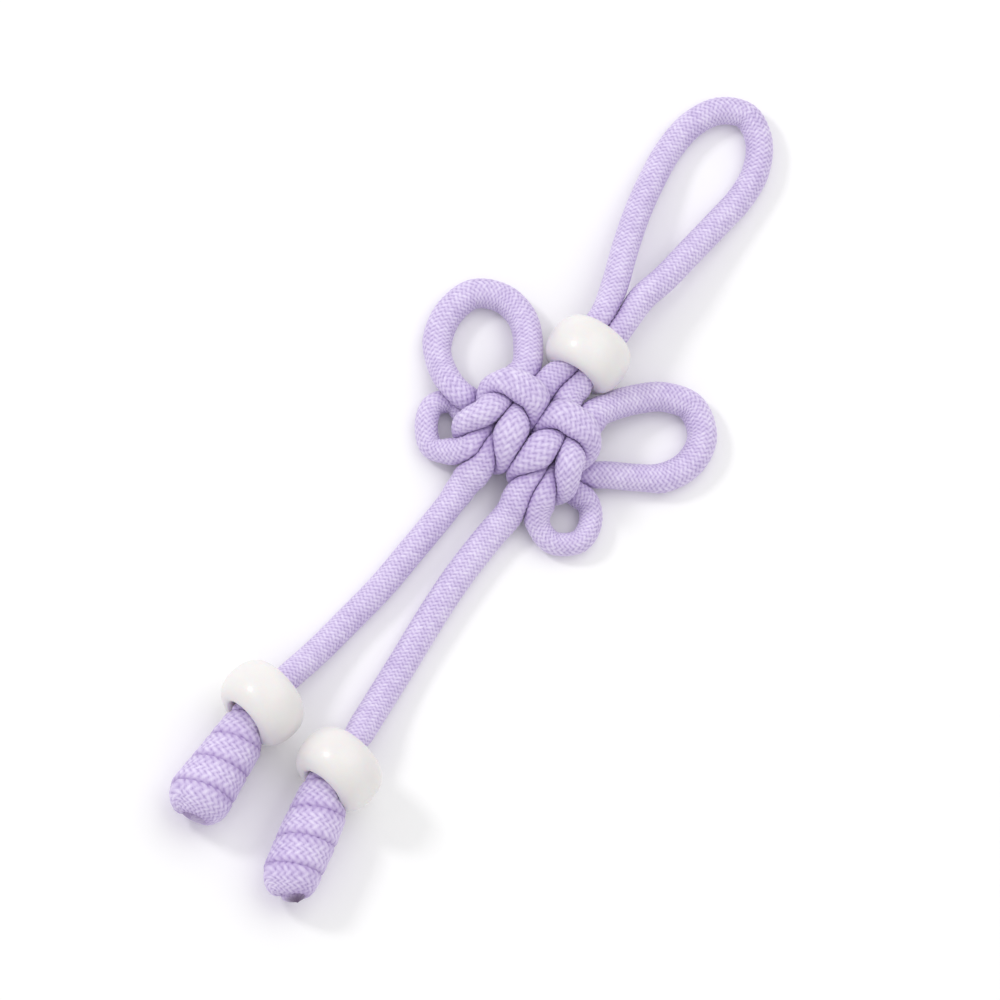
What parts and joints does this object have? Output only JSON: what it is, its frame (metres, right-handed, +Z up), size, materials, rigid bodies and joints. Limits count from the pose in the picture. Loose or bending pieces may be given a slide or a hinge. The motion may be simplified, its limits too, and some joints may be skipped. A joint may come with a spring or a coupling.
{
  "type": "chinese knot tassel",
  "caption": "Charm of lilac braided cord with a hanging loop, a butterfly knot, and white big-hole beads above wrapped barrel stop knots.",
  "frame": {"origin": "centre of the charm's outline on the table it lies on", "axes": "+Y along the charm towards the hanging loop, +Z up from the table, +X across to the larger wing"},
  "size_m": [0.047, 0.1482, 0.0133],
  "materials": {
    "lilac_cord": "braided, matt with a slight sheen",
    "white_bead": "glossy opaque white"
  },
  "bodies": {
    "root": {"cord": "lilac_cord", "bead_top": "white_bead", "bead_left": "white_bead", "bead_right": "white_bead"}
  },
  "joints": []
}
